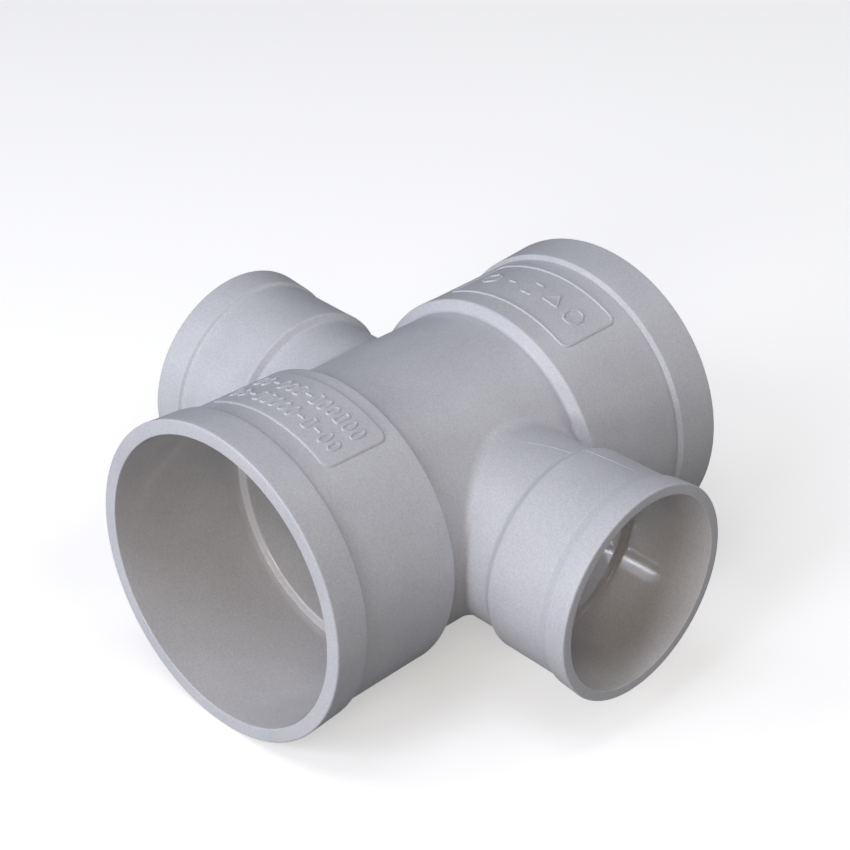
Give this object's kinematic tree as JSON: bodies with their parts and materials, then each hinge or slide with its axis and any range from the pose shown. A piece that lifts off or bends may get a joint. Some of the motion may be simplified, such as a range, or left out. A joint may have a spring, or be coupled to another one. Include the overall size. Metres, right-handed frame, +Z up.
{
  "type": "reducing cross fitting",
  "caption": "Moulded drain-pipe cross: a wide straight run crossed by two narrower branches at right angles, each end a plain socket with an inner pipe stop and a flared rim band.",
  "frame": {"origin": "on the run's axis, half way between its two mouths, at the centre of the fitting's box; the branches' axis crosses the run's axis 2.5 mm behind the origin", "axes": "+Y along the run's axis, out of the rear mouth; +X along the branches, out of the right mouth; +Z up, through the middle of the two raised label areas"},
  "size_m": [0.144, 0.136, 0.083],
  "materials": {
    "body": "light cool grey PVC, fine moulded grain, satin",
    "socket": "light cool grey PVC, fine moulded grain outside, smoother and faintly glossy in the bore",
    "rim": "light cool grey PVC, matt trimmed rim face",
    "label": "light cool grey PVC, raised moulded relief"
  },
  "bodies": {
    "root": {"cross_body": "body", "front_socket": "socket", "front_rim_band": "rim", "rear_socket": "socket", "rear_rim_band": "rim", "right_neck_shoulder": "body", "right_socket": "socket", "right_rim_band": "rim", "left_neck_shoulder": "body", "left_socket": "socket", "left_rim_band": "rim", "front_label_plate": "label", "rear_label_frame": "label", "rear_mark_hexagon": "label", "rear_mark_bar": "label", "rear_mark_rectangle": "label", "rear_mark_triangle": "label", "rear_mark_octagon": "label"}
  },
  "joints": []
}
